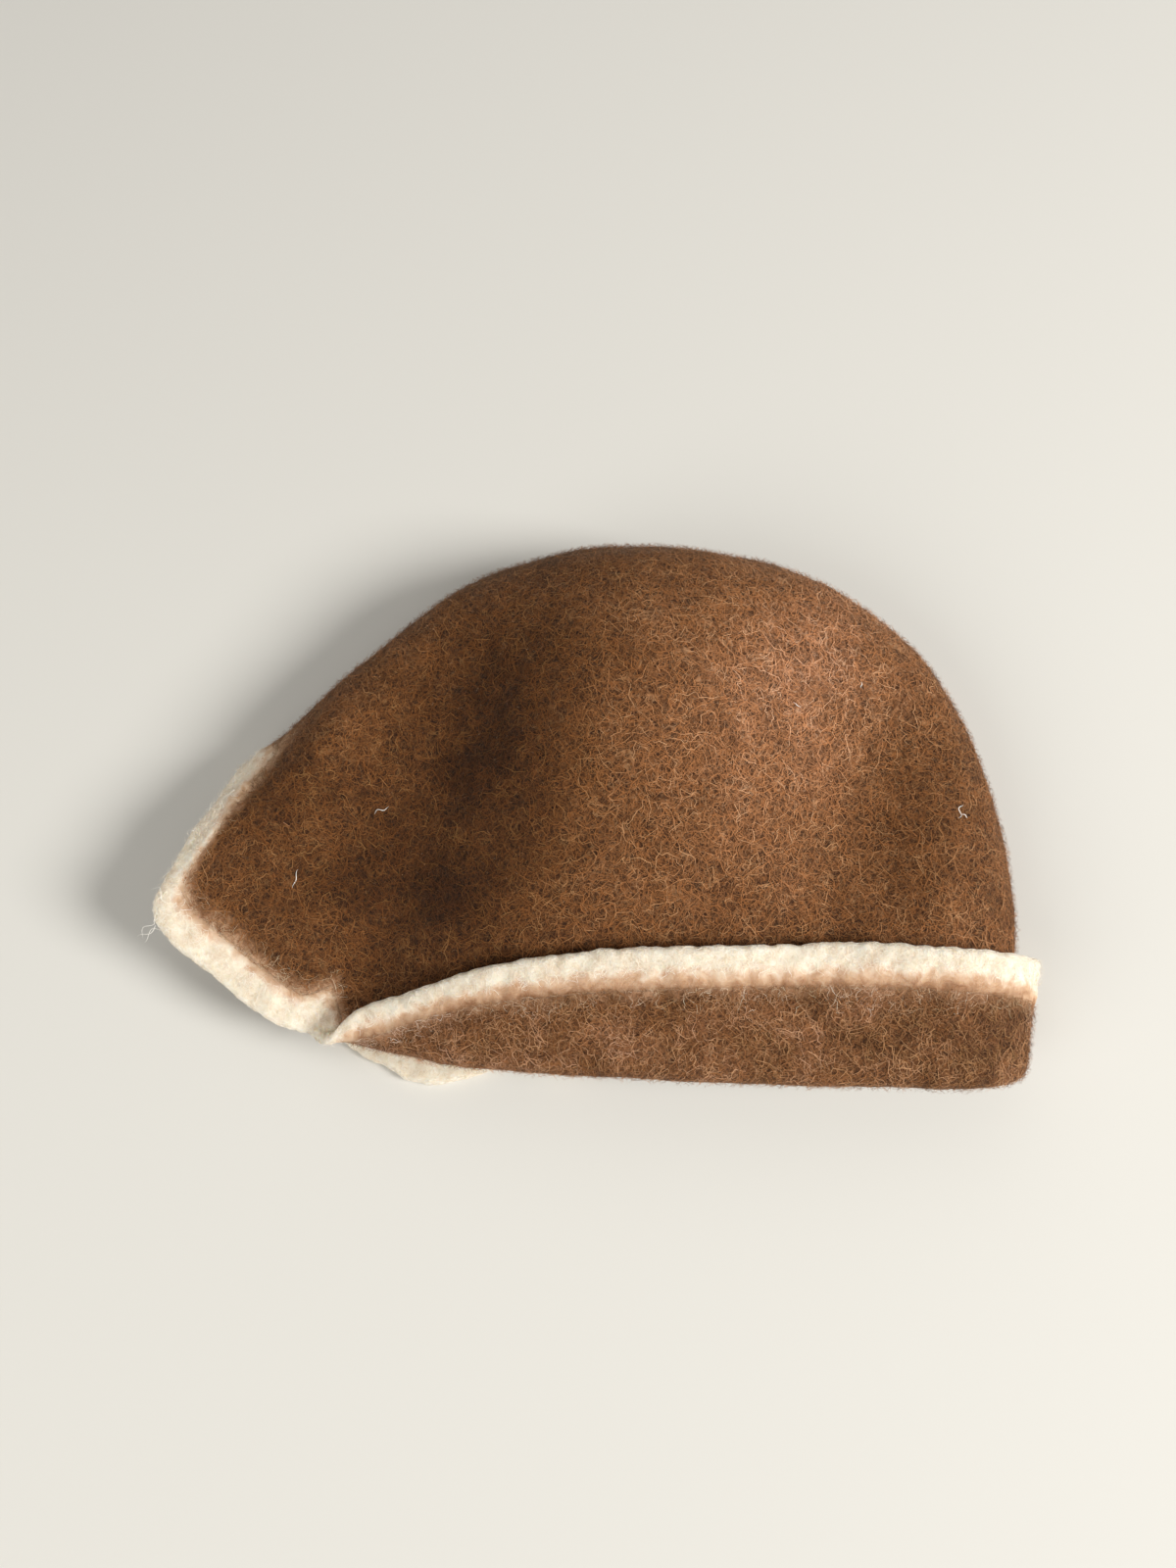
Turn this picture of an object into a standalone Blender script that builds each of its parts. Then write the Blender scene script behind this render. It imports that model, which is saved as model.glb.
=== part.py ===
# Bucket hat of fulled mohair, lying on its side and pressed flat, as it is stored.
# The top of the crown points along +Y, the mouth along -Y, the back of the head along +X.
# The brim is turned up outside the crown as a cuff round the back and both sides, and is left
# down at the front, at -X, where it juts out as a pointed peak. A paler edging is knitted on
# along the whole hem. The tables are in millimetres and the model is in metres.

from collections import namedtuple

import bpy
import numpy as np

MM = 0.001

# Felt, in millimetres
FELT = 3.8
EDGING = 4.8
EDGING_WIDTH = 15.0
BRIM_WIDTH = 56.0
PRESSED = 0.15          # how far the felt gives where it lies on something flat
PIECE_GAP = 0.35        # between two pieces that meet
UPPER_FOLD = 4.2        # radius of the turned-up brim's fold, on the middle of the felt
UNDER_FOLD = 3.3        # the same on the side that the hat lies on
START_FOLD = 1.2        # how much wider the fold is where the brim starts to turn up
STARTED = 40.0          # width of turned-up brim by which the fold has its usual radius
FLOOR = FELT / 2 - PRESSED
DENT_START = 0.15       # share of the way from the crown's top over which the dents set in
EDGE_ROUNDING = 0.25    # how near the hem its rounded section is cut off, in half thicknesses

# The under layer lies on its own turned-up brim, and comes down to the floor past its edge
UNDER_LENGTH = 205.0
LIFT_LENGTH = 42.0

# In degrees from the back fold: where the two layers' fold radii meet, and where the under
# layer leaves the back fold and settles on its brim
RADII_MEET = 25.0
LEAVES_FOLD = 10.0
ON_BRIM = 35.0

# How the cushion-shaped section rounds off: the upper layer's power at the back and its rise
# towards the sharper front fold, and the under layer's quick sag to the floor
BACK_CREASE = 0.85
CREASE_RISE = 0.65
CREASE_FROM = 0.3       # where along the crown the front fold starts to sharpen
CREASE_TO = 0.9
SAG_START = -0.25
SAG_END = 0.55

# Where the middle of the hat's outline lies, on the sheet that the tables are drawn on
SHEET_CENTRE = (1.9, -15.75)

# How fine the felt is cut into faces
COLUMNS = 84
CROWN_ROWS = 12
BRIM_ROWS = 14
EDGING_ROWS = 5
MERIDIAN_STEPS = 200
HEM_STEPS = 1440        # steps in which the hem and a line's widths are measured
WIDTH_STEPS = 200
FOLD_CROWDING = 1.2     # how much closer the rows lie round the brim's fold
CROWDING_REACH = 2.0    # how far past the fold's ends they do
HEM_CROWDING = 1.4      # power that draws the edging's rows together at the hem
START_CROWDING = 0.6    # share of the columns that gather where the brim starts to turn up
MOST_SLANT = 2.4        # widths are stretched up to this much along a line that leans on the hem
BROW_LEAN = 0.35        # share of that stretch at the brow line, which bends less than the hem

# The crown, cut across from its top, along = 0, to its mouth, along = 1. The back and front
# columns are the two side folds of the flattened hat, upper and under the two layers' heights.
Section = namedtuple("Section", "along back_x back_y front_x front_y back_z front_z upper under")
SECTIONS = [
    Section(0.00, 13.5, 88.0, 13.5, 88.0, 23.5, 23.5, 23.5, 23.5),
    Section(0.06, 42.0, 86.0, -14.0, 84.5, 23.5, 23.5, 38.0, 10.0),
    Section(0.14, 62.0, 82.5, -30.0, 80.0, 24.0, 24.0, 45.5, 4.5),
    Section(0.25, 84.0, 77.0, -45.0, 74.0, 24.0, 24.0, 52.0, 2.2),
    Section(0.37, 110.0, 62.0, -61.5, 64.0, 24.0, 24.0, 56.5, FLOOR),
    Section(0.50, 134.5, 36.5, -80.0, 49.5, 24.0, 23.5, 59.0, FLOOR),
    Section(0.62, 148.5, 4.5, -98.0, 34.0, 23.5, 21.5, 57.5, FLOOR),
    Section(0.74, 156.0, -29.0, -113.5, 19.0, 22.5, 18.0, 54.0, FLOOR),
    Section(0.87, 157.5, -67.5, -127.0, 9.0, 21.5, 15.5, 48.0, FLOOR),
    Section(1.00, 150.5, -106.5, -137.5, -1.0, 20.5, 13.5, 38.5, FLOOR),
]

# The mouth, once round from the back fold over the upper layer (0 to 180 degrees) and back
# along the under layer. Turned is the width of brim that is folded up there. The under layer's
# heights leave out the brim folded in below it, which mouth_at adds.
Mouth = namedtuple("Mouth", "angle x y z turned")
MOUTH = [
    Mouth(0, 150.5, -106.5, 20.5, 45.5),
    Mouth(12, 148.5, -112.0, 28.0, 50.5),
    Mouth(25, 140.5, -114.5, 33.5, 54),
    Mouth(45, 114.5, -114.5, 37.0, 56),
    Mouth(65, 70.5, -114.0, 38.0, 56),
    Mouth(83, 23.5, -111.5, 36.0, 55),
    Mouth(96, -17.0, -109.3, 31.5, 52),
    Mouth(105, -46.5, -106.6, 27.0, 45),
    Mouth(112, -72.0, -102.0, 22.0, 31),
    Mouth(117, -90.5, -97.4, 18.5, 18),
    Mouth(120, -100.2, -97.6, 18.5, 6),
    Mouth(123, -110.5, -99.8, 18.5, 0),
    Mouth(127, -123.5, -93.6, 20.5, 0),
    Mouth(131, -139.5, -81.5, 23.0, 0),
    Mouth(141, -162.5, -58.5, 29.0, 0),
    Mouth(149, -156.5, -39.5, 28.0, 0),
    Mouth(160, -147.0, -21.5, 25.0, 0),
    Mouth(171, -141.0, -8.0, 20.0, 0),
    Mouth(180, -137.5, -1.0, 13.5, 0),
    Mouth(190, -134.0, -10.5, 6.0, 0),
    Mouth(202, -126.0, -31.0, FLOOR, 0),
    Mouth(215, -115.5, -62.0, FLOOR, 0),
    Mouth(228, -104.0, -89.5, FLOOR, 0),
    Mouth(237, -92.5, -105.5, FLOOR, 0),
    Mouth(244, -78.0, -113.5, FLOOR, 0),
    Mouth(250, -63.5, -119.5, FLOOR, 0),
    Mouth(256, -46.0, -117.5, FLOOR, 0),
    Mouth(263, -26.0, -110.5, FLOOR, 0),
    Mouth(272, 14.0, -103.0, FLOOR, 34),
    Mouth(287, 77.0, -106.5, FLOOR, 52),
    Mouth(305, 121.0, -106.0, FLOOR, 53),
    Mouth(325, 141.5, -107.0, FLOOR, 49),
    Mouth(345, 149.5, -106.5, 10.5, 44.5),
    Mouth(360, 150.5, -106.5, 20.5, 45.5),
]

# Bulges and dents of the upper layer: an oval's middle, its reach across and along, the
# degrees that it is turned by, and its height
Dent = namedtuple("Dent", "x y reach_across reach_along turn height")
DENTS = [
    Dent(-72.0, 8.0, 38.0, 80.0, -13, -13.0),
    Dent(12.0, 22.0, 40.0, 62.0, -22, 5.0),
    Dent(112.0, 18.0, 44.0, 60.0, -25, -7.5),
    Dent(97.0, -34.0, 25.0, 46.0, -25, -10.0),
    Dent(130.0, -33.5, 15.0, 47.0, 0, 3.0),
]


def ramp(value, start, end):
    """0 before start, 1 after end, and a smooth step between."""
    t = np.clip((value - start) / (end - start), 0.0, 1.0)
    return t * t * (3.0 - 2.0 * t)


def columns_of(rows):
    """A table's columns by name."""
    return dict(zip(rows[0]._fields, np.array(rows, float).T))


def through(knots, values, at):
    """Smooth curve through a table's values, read at any place between its knots."""
    step = np.diff(knots)
    chord = np.diff(values) / step
    slope = np.concatenate([
        chord[:1],
        (chord[:-1] * step[1:] + chord[1:] * step[:-1]) / (step[1:] + step[:-1]),
        chord[-1:],
    ])
    at = np.clip(at, knots[0], knots[-1])
    i = np.clip(np.searchsorted(knots, at, side="right") - 1, 0, len(step) - 1)
    t = (at - knots[i]) / step[i]
    return (
        (2 * t**3 - 3 * t**2 + 1) * values[i]
        + (t**3 - 2 * t**2 + t) * step[i] * slope[i]
        + (3 * t**2 - 2 * t**3) * values[i + 1]
        + (t**3 - t**2) * step[i] * slope[i + 1]
    )


def unit(vectors):
    return vectors / (np.linalg.norm(vectors, axis=-1, keepdims=True) + 1e-12)


def mouth_at(angle):
    """Where the mouth's fold or hem lies, how much brim is turned up, and its fold's radius."""
    table = columns_of(MOUTH)
    place = np.stack([through(table["angle"], table[k], angle) for k in "xyz"], axis=-1)
    turned = np.maximum(through(table["angle"], table["turned"], angle), 0.0)
    side = np.where(angle <= 180.0, UPPER_FOLD, UNDER_FOLD)
    middle = 0.5 * (UPPER_FOLD + UNDER_FOLD)
    fold = middle + (side - middle) * ramp(np.minimum(angle, 360.0 - angle), 0.0, RADII_MEET)
    fold += START_FOLD * (1.0 - ramp(turned, 0.0, STARTED))
    folded_in = fold * (1.0 - np.cos(np.minimum(turned / fold, np.pi)))
    settled = ramp(360.0 - angle, LEAVES_FOLD, ON_BRIM)
    place[..., 2] += np.where(angle > 180.0, folded_in * settled, 0.0)
    return place, turned, fold


def flattened_section(table, angle, along):
    """A point on the crown's cross-section: a cushion shape between the two side folds."""
    root = np.sqrt(along)

    def read(name):
        return through(np.sqrt(table["along"]), table[name], root)

    side = np.abs(np.sin(np.radians(angle)))
    across = 0.5 - 0.5 * np.cos(np.radians(angle))
    back = [read("back_x"), read("back_y"), read("back_z")]
    front = [read("front_x"), read("front_y"), read("front_z")]
    x, y, fold = [b + (f - b) * across for b, f in zip(back, front)]
    start = ramp(0.0, SAG_START, SAG_END)
    sag = (ramp(side, SAG_START, SAG_END) - start) / (1.0 - start)
    crease = BACK_CREASE + CREASE_RISE * across * ramp(along, CREASE_FROM, CREASE_TO)
    upper = fold + (read("upper") - fold) * side**crease
    under = fold + (read("under") - fold) * sag
    return np.stack([x, y, np.where(angle <= 180.0, upper, under)], axis=-1)


def crown_surface(angle, along):
    """The middle of the felt from the top of the crown to the mouth, for arrays of both."""
    table = columns_of(SECTIONS)
    place = flattened_section(table, angle, along)
    mouth, turned, _ = mouth_at(angle)
    pull = mouth - flattened_section(table, angle, np.ones_like(along))
    is_upper = angle <= 180.0
    brim_share = turned / UNDER_LENGTH
    on_brim = ramp(along, 1.0 - LIFT_LENGTH / UNDER_LENGTH - brim_share, 1.0 - brim_share)
    near_mouth = np.where(is_upper, along**3, on_brim)
    place[..., :2] += pull[..., :2] * (along**2)[..., None]
    place[..., 2] += pull[..., 2] * near_mouth
    share = np.where(is_upper, np.sin(np.radians(angle)), 0.0) * ramp(along, 0.0, DENT_START)
    for dent in DENTS:
        turn = np.radians(dent.turn)
        right = place[..., 0] - dent.x
        up = place[..., 1] - dent.y
        across = right * np.cos(turn) + up * np.sin(turn)
        lengthwise = up * np.cos(turn) - right * np.sin(turn)
        spread = (across / dent.reach_across) ** 2 + (lengthwise / dent.reach_along) ** 2
        place[..., 2] += share * dent.height * np.exp(-spread)
    return place


def column_angles(count):
    """Angles of the columns, closer where the hem is long and where the brim starts to turn up."""
    fine = np.linspace(0.0, 360.0, HEM_STEPS + 1)
    place, turned, _ = mouth_at(fine)
    length = np.linalg.norm(np.diff(place, axis=0), axis=1)
    turning = np.abs(np.diff(turned))
    weight = length / length.sum() + 1.0 / len(length) + START_CROWDING * turning / turning.sum()
    total = np.concatenate([[0.0], np.cumsum(weight)])
    return np.interp(np.arange(count) / count * total[-1], total, fine)


class Felt:
    """Lines over the crown from its top to its mouth, and the brim folded back along them."""

    def __init__(self, count):
        self.angle = column_angles(count)
        along = np.linspace(0.0, 1.0, MERIDIAN_STEPS + 1)
        grid = np.meshgrid(self.angle, along, indexing="ij")
        self.place = crown_surface(*grid)
        steps = np.linalg.norm(np.diff(self.place, axis=1), axis=2)
        self.length = np.concatenate([np.zeros((count, 1)), np.cumsum(steps, axis=1)], axis=1)
        around = np.roll(self.place, -1, axis=0) - np.roll(self.place, 1, axis=0)
        down = np.gradient(self.place, axis=1)
        self.normal = unit(np.cross(around, down))
        self.normal[:, 0] = unit(self.normal[:, 1:4].mean(axis=(0, 1)))
        self.outward = unit(self.place[:, -1] - self.place[:, -4])
        mouth, self.turned, self.fold = mouth_at(self.angle)
        hem = unit(np.roll(mouth, -1, axis=0) - np.roll(mouth, 1, axis=0))
        lean = np.linalg.norm(np.cross(hem, self.outward), axis=1)
        self.slant = 1.0 / np.maximum(lean, 1.0 / MOST_SLANT)

    def hem_length(self):
        """From the top of the crown to the hem, along each line."""
        return self.length[:, -1] + self.turned

    def brow_slant(self):
        """How much widths are stretched at the brow line."""
        return 1.0 + BROW_LEAN * (self.slant - 1.0)

    def at(self, column, from_hem):
        """Places and outward normals on one line, at distances from the hem."""
        beyond = self.turned[column] - from_hem
        fold = self.fold[column]
        length = self.length[column]
        turn = np.clip(beyond / fold, 0.0, np.pi)
        along = length[-1] + np.minimum(beyond, 0.0) - np.maximum(beyond - np.pi * fold, 0.0)
        place, normal = [
            np.stack([np.interp(along, length, field[column, :, k]) for k in range(3)], axis=-1)
            for field in (self.place, self.normal)
        ]
        normal = unit(normal)
        outward = self.outward[column]
        up = (1.0 - np.cos(turn))[:, None]
        out = np.sin(turn)[:, None]
        place = place + fold * (up * normal + out * outward)
        return place, unit((1.0 - up) * normal - out * outward)

    def crowded_rows(self, column, start, end, count):
        """Distances from the hem from start to end, closer together round the fold."""
        fine = np.linspace(start, end, WIDTH_STEPS + 1)
        fold_start = self.turned[column]
        fold_end = fold_start - np.pi * self.fold[column]
        inside = ramp(fine, fold_end - CROWDING_REACH, fold_end)
        inside *= 1.0 - ramp(fine, fold_start, fold_start + CROWDING_REACH)
        weight = 1.0 + FOLD_CROWDING * inside
        total = np.concatenate([[0.0], np.cumsum(0.5 * (weight[1:] + weight[:-1]))])
        return np.interp(np.linspace(0.0, total[-1], count + 1), total, fine)


def felt_grid(felt, rows_of):
    """Grids of places and normals, rows by columns, for the distances that rows_of gives."""
    lines = [felt.at(j, rows_of(j)) for j in range(len(felt.angle))]
    place = np.stack([line[0] for line in lines], axis=1)
    normal = np.stack([line[1] for line in lines], axis=1)
    return place, normal


def wall_mesh(name, place, normal, half, has_top):
    """A closed felt wall about a grid of places. With has_top its first row is one point."""
    offset = normal * np.broadcast_to(half, normal.shape)
    faces_of_wall = [place + offset, place - offset]
    rows, columns = place.shape[:2]
    points = []
    index = []
    for face in faces_of_wall:
        ids = np.empty((rows, columns), int)
        for i in range(rows):
            if i == 0 and has_top:
                ids[i] = len(points)
                points.append(face[0].mean(axis=0))
            else:
                ids[i] = len(points) + np.arange(columns)
                points.extend(face[i])
        index.append(ids)
    outer, inner = index
    quads = []
    for j in range(columns):
        k = (j + 1) % columns
        for i in range(rows - 1):
            quads.append((outer[i, j], outer[i, k], outer[i + 1, k], outer[i + 1, j]))
            quads.append((inner[i, j], inner[i + 1, j], inner[i + 1, k], inner[i, k]))
        quads.append((outer[-1, j], outer[-1, k], inner[-1, k], inner[-1, j]))
        if not has_top:
            quads.append((outer[0, j], inner[0, j], inner[0, k], outer[0, k]))
    faces = [tuple(dict.fromkeys(int(v) for v in quad)) for quad in quads]
    points = np.array(points)
    points[:, :2] -= SHEET_CENTRE
    points[:, 2] = np.maximum(points[:, 2], 0.0)
    mesh = bpy.data.meshes.new(name)
    mesh.from_pydata((points * MM).tolist(), [], faces)
    mesh.validate()
    mesh.shade_smooth()
    return mesh


def material(name, colour, roughness):
    made = bpy.data.materials.new(name)
    made.use_nodes = True
    shader = made.node_tree.nodes["Principled BSDF"]
    shader.inputs["Base Color"].default_value = (*colour, 1.0)
    shader.inputs["Roughness"].default_value = roughness
    shader.inputs["Metallic"].default_value = 0.0
    return made


def add(collection, name, mesh, surface):
    piece = bpy.data.objects.new(name, mesh)
    mesh.materials.append(surface)
    collection.objects.link(piece)
    return piece


def crown(felt):
    """From the top of the crown to the brow line, where the brim begins."""
    start = BRIM_WIDTH * felt.brow_slant() + PIECE_GAP
    share = np.linspace(0.0, 1.0, CROWN_ROWS + 1)
    whole = felt.hem_length()
    place, normal = felt_grid(felt, lambda j: whole[j] + (start[j] - whole[j]) * share)
    return wall_mesh("crown", place, normal, FELT / 2, has_top=True)


def brim(felt):
    """From the brow line round the fold to the edging."""
    start = BRIM_WIDTH * felt.brow_slant()
    end = (EDGING_WIDTH + PIECE_GAP) * felt.slant
    place, normal = felt_grid(felt, lambda j: felt.crowded_rows(j, end[j], start[j], BRIM_ROWS)[::-1])
    return wall_mesh("brim", place, normal, FELT / 2, has_top=False)


def edging(felt):
    """The paler band along the hem, thicker than the felt and rounded off at its edge."""
    half = EDGING / 2
    from_hem = EDGING_WIDTH * np.linspace(1.0, 0.0, EDGING_ROWS + 1) ** HEM_CROWDING
    rounded = half * np.sqrt(1.0 - (1.0 - np.clip(from_hem / half, EDGE_ROUNDING, 1.0)) ** 2)
    rounded[0] = FELT / 2
    place, normal = felt_grid(felt, lambda j: from_hem * felt.slant[j])
    return wall_mesh("edging", place, normal, rounded[:, None, None], has_top=False)


def build():
    for old in list(bpy.data.objects):
        bpy.data.objects.remove(old)
    collection = bpy.data.collections.new("mohair_bucket_hat")
    bpy.context.scene.collection.children.link(collection)
    brown = material("brown_felt", (0.16, 0.075, 0.03), 0.95)
    turned_brown = material("turned_brown_felt", (0.20, 0.10, 0.05), 0.95)
    cream = material("cream_edging", (0.80, 0.74, 0.62), 0.95)
    felt = Felt(COLUMNS)
    add(collection, "crown", crown(felt), brown)
    add(collection, "brim", brim(felt), turned_brown)
    add(collection, "edging", edging(felt), cream)


build()
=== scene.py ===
# The look of a mohair bucket hat that lies on its side, pressed flat: one fulled felt with its
# brim turned up, a cream edging knitted along the hem, and the hairs that stand off all of it.
# Lengths are in millimetres until a mesh is made, and the hat is drawn on a sheet whose origin
# is moved to the middle of the hat's box.
import math

import bpy
import numpy as np
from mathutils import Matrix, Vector, noise


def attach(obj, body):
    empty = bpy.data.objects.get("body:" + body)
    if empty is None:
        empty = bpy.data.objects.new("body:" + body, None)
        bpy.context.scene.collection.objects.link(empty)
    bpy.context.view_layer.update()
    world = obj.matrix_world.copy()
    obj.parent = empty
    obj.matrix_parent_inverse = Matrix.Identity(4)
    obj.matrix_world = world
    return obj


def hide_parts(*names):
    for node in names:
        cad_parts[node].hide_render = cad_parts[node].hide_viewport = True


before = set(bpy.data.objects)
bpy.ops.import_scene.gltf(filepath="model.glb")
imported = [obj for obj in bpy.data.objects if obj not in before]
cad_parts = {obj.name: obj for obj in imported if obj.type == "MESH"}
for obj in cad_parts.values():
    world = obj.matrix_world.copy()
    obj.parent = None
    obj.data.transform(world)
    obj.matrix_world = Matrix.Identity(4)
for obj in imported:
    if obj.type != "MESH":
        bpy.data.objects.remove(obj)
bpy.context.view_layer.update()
scene = bpy.context.scene
mm = 0.001

felt = {
    "thickness": 3.8,
    "edgingThickness": 4.8,
    "edgingWidth": 15.0,
    "pressed": 0.15,  # how far it gives where it lies on something flat
    "pressedBelow": (3.0, 14.0),  # heights between which its lumps and grain come back
    "lumps": [(34.0, 0.9), (13.0, 0.45), (5.0, 0.22)],  # size and depth of its unevenness
    "upperFold": 4.2,  # radius of the turned-up brim's fold
    "underFold": 3.3,
    "backFold": 25.0,  # degrees over which the two folds run into each other
    "startFold": 1.2,  # wider by this where the brim starts to turn up
    "fullTurn": 40.0,  # width turned up from which the fold is plain
    "underFoldEnd": (10.0, 35.0),  # degrees short of the back fold
    "sag": (-0.25, 0.55),  # how the under layer leaves its two side folds
    "roundness": 0.85,  # of the upper layer at its side folds
    "frontCrease": 0.65,  # sharper by this at the front one
    "creaseRun": (0.3, 0.9),
    "plainTop": 0.15,  # share of the crown over which the dents set in
    "underLength": 205.0,
    "liftLength": 42.0,  # length over which the under layer climbs onto its own brim
    "sheetCentre": (1.9, -15.75),
    "mostSlant": 2.4,
    "steps": 220,
    "byAngle": 0.7,  # the lines' shares by angle and by how the brim turns up
    "byTurn": 0.5,
    "foldCrowding": 1.2,  # how much closer the rows are round the fold
    "foldReach": 3.0,
}
floorHeight = felt["thickness"] / 2 - felt["pressed"]

# The crown cut across from its top (along 0) to its mouth (along 1). Back and front are the
# two side folds, upper and under the heights of the two layers between them.
crownColumns = "along backX backY frontX frontY backZ frontZ upper under"
crownRows = [
    (0.00, 13.5, 88.0, 13.5, 88.0, 23.5, 23.5, 23.5, 23.5),
    (0.06, 42.0, 86.0, -14.0, 84.5, 23.5, 23.5, 38.0, 10.0),
    (0.14, 62.0, 82.5, -30.0, 80.0, 24.0, 24.0, 45.5, 4.5),
    (0.25, 84.0, 77.0, -45.0, 74.0, 24.0, 24.0, 52.0, 2.2),
    (0.37, 110.0, 62.0, -61.5, 64.0, 24.0, 24.0, 56.5, floorHeight),
    (0.50, 134.5, 36.5, -80.0, 49.5, 24.0, 23.5, 59.0, floorHeight),
    (0.62, 148.5, 4.5, -98.0, 34.0, 23.5, 21.5, 57.5, floorHeight),
    (0.74, 156.0, -29.0, -113.5, 19.0, 22.5, 18.0, 54.0, floorHeight),
    (0.87, 157.5, -67.5, -127.0, 9.0, 21.5, 15.5, 48.0, floorHeight),
    (1.00, 150.5, -106.5, -137.5, -1.0, 20.5, 13.5, 38.5, floorHeight),
]

# The mouth, once round from the back fold over the upper layer and back along the under one.
# Turned is the width of brim folded up there.
mouthColumns = "angle x y z turned"
mouthRows = [
    (0, 150.5, -106.5, 20.5, 45.5), (12, 148.5, -112.0, 28.0, 50.5), (25, 140.5, -114.5, 33.5, 54),
    (45, 114.5, -114.5, 37.0, 56), (65, 70.5, -114.0, 38.0, 56), (83, 23.5, -111.5, 36.0, 55),
    (96, -17.0, -109.3, 31.5, 52), (105, -46.5, -106.6, 27.0, 45), (112, -72.0, -102.0, 22.0, 31),
    (117, -90.5, -97.4, 18.5, 18), (120, -100.2, -97.6, 18.5, 6), (123, -110.5, -99.8, 18.5, 0),
    (127, -123.5, -93.6, 20.5, 0), (131, -139.5, -81.5, 23.0, 0),
    (141, -162.5, -58.5, 29.0, 0), (149, -156.5, -39.5, 28.0, 0),
    (160, -147.0, -21.5, 25.0, 0), (171, -141.0, -8.0, 20.0, 0), (180, -137.5, -1.0, 13.5, 0),
    (190, -134.0, -10.5, 6.0, 0), (202, -126.0, -31.0, floorHeight, 0),
    (215, -115.5, -62.0, floorHeight, 0), (228, -104.0, -89.5, floorHeight, 0),
    (237, -92.5, -105.5, floorHeight, 0), (244, -78.0, -113.5, floorHeight, 0),
    (250, -63.5, -119.5, floorHeight, 0), (256, -46.0, -117.5, floorHeight, 0),
    (263, -26.0, -110.5, floorHeight, 0), (272, 14.0, -103.0, floorHeight, 34),
    (287, 77.0, -106.5, floorHeight, 52), (305, 121.0, -106.0, floorHeight, 53),
    (325, 141.5, -107.0, floorHeight, 49), (345, 149.5, -106.5, 10.5, 44.5),
    (360, 150.5, -106.5, 20.5, 45.5),
]

# Bulges and dents of the upper layer, ovals turned by some degrees
dentColumns = "x y reachAcross reachAlong turn height"
dentRows = [
    (-72.0, 8.0, 38.0, 80.0, -13, -13.0),
    (12.0, 22.0, 40.0, 62.0, -22, 5.0),
    (112.0, 18.0, 44.0, 60.0, -25, -7.5),
    (97.0, -34.0, 25.0, 46.0, -25, -10.0),
    (130.0, -33.5, 15.0, 47.0, 0, 3.0),
]

# Painted shade (below 0) and painted light (above 0) on the upper layer, in the same kind of ovals:
# darker in its valley, its dent, above the cuff and towards its edges, lighter on its bulge and ridge
paintedShadingColumns = "x y reachAcross reachAlong turn strength"
paintedShadingRows = [
    (-36.0, 4.0, 38.0, 64.0, -14, -0.78),
    (-66.0, -58.0, 48.0, 24.0, 10, -0.42),
    (10.0, -76.0, 90.0, 11.0, 4, -0.22),
    (78.0, 26.0, 34.0, 46.0, -32, 0.72),
    (10.0, 76.0, 62.0, 20.0, 0, -0.20),
    (24.0, 5.0, 34.0, 50.0, -14, 0.12),
    (112.0, -22.0, 20.0, 34.0, -20, -0.20),
    (-112.0, -20.0, 40.0, 45.0, 0, -0.44),
    (140.0, -20.0, 22.0, 70.0, 0, -0.16),
]


def table(names, rows):
    # the rows' columns by name
    return dict(zip(names.split(), np.array(rows, float).T))


crownTable = table(crownColumns, crownRows)
mouthTable = table(mouthColumns, mouthRows)
dentTable = table(dentColumns, dentRows)
paintedShadingTable = table(paintedShadingColumns, paintedShadingRows)


def ramp(value, start, end):
    # 0 before start, 1 past end, smooth between
    t = np.clip((value - start) / (end - start), 0.0, 1.0)
    return t * t * (3.0 - 2.0 * t)


def through(knots, values, at):
    # smooth curve through a table's values
    step = np.diff(knots)
    chord = np.diff(values) / step
    inner = (chord[:-1] * step[1:] + chord[1:] * step[:-1]) / (step[1:] + step[:-1])
    slope = np.concatenate([chord[:1], inner, chord[-1:]])
    at = np.clip(at, knots[0], knots[-1])
    i = np.clip(np.searchsorted(knots, at, side="right") - 1, 0, len(step) - 1)
    t = (at - knots[i]) / step[i]
    ends = (2 * t**3 - 3 * t**2 + 1) * values[i] + (3 * t**2 - 2 * t**3) * values[i + 1]
    leans = (t**3 - 2 * t**2 + t) * slope[i] + (t**3 - t**2) * slope[i + 1]
    return ends + step[i] * leans


def unit(vectors):
    return vectors / (np.linalg.norm(vectors, axis=-1, keepdims=True) + 1e-12)


def ovals(rows, place):
    # soft ovals on the sheet, added up
    total = 0.0 * place[..., 0]
    for x, y, reachAcross, reachAlong, turn, height in zip(*rows.values()):
        cos, sin = np.cos(np.radians(turn)), np.sin(np.radians(turn))
        right, up = place[..., 0] - x, place[..., 1] - y
        across = (right * cos + up * sin) / reachAcross
        lengthwise = (up * cos - right * sin) / reachAlong
        total += height * np.exp(-(across**2) - lengthwise**2)
    return total


def mouthAt(angle):
    # place of the mouth's fold or hem, width of brim turned up, radius of its fold
    place = np.stack([through(mouthTable["angle"], mouthTable[k], angle) for k in "xyz"], axis=-1)
    turned = np.maximum(through(mouthTable["angle"], mouthTable["turned"], angle), 0.0)
    side = np.where(angle <= 180.0, felt["upperFold"], felt["underFold"])
    middle = 0.5 * (felt["upperFold"] + felt["underFold"])
    fold = middle + (side - middle) * ramp(np.minimum(angle, 360.0 - angle), 0.0, felt["backFold"])
    fold += felt["startFold"] * (1.0 - ramp(turned, 0.0, felt["fullTurn"]))
    foldedIn = fold * (1.0 - np.cos(np.minimum(turned / fold, np.pi)))
    foldedIn = foldedIn * ramp(360.0 - angle, *felt["underFoldEnd"])
    place[..., 2] += np.where(angle > 180.0, foldedIn, 0.0)
    return place, turned, fold


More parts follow.
